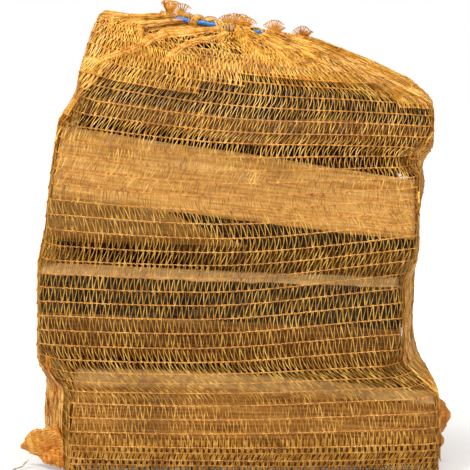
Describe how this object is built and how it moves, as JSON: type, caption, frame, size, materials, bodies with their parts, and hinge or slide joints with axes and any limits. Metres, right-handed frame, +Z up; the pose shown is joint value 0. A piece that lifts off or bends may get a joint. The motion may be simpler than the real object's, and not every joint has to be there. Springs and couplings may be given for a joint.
{
  "type": "firewood bundle",
  "caption": "Split firewood stacked on its side in a knitted net sack, the mouth drawn together with a cord and the bottom corners left as loose ears; stands on its flat base.",
  "frame": {"origin": "middle of the flat base that the sack stands on", "axes": "+Z up towards the drawn mouth, front of the stack towards -Y, +X along the logs to the right as seen from the front"},
  "size_m": [0.4034, 0.2294, 0.4237],
  "materials": {
    "split_wood": "rough split faces with long grain, dark bark on the outer side, sawn ends",
    "net_tape": "thin golden-orange stretched plastic tape, slightly glossy and a little translucent",
    "blue_cord": "soft blue braided plastic cord",
    "pale_thread": "pale twisted sewing thread"
  },
  "bodies": {
    "root": {"log_front_1": "split_wood", "log_front_2": "split_wood", "log_front_3": "split_wood", "log_front_4": "split_wood", "log_middle_1": "split_wood", "log_middle_2": "split_wood", "log_middle_3": "split_wood", "log_middle_4": "split_wood", "log_middle_5": "split_wood", "log_back_1": "split_wood", "log_back_2": "split_wood", "log_back_3": "split_wood", "log_back_4": "split_wood", "log_back_5": "split_wood", "net_sack": "net_tape", "drawstring": "blue_cord", "seam_thread": "pale_thread"}
  },
  "joints": []
}
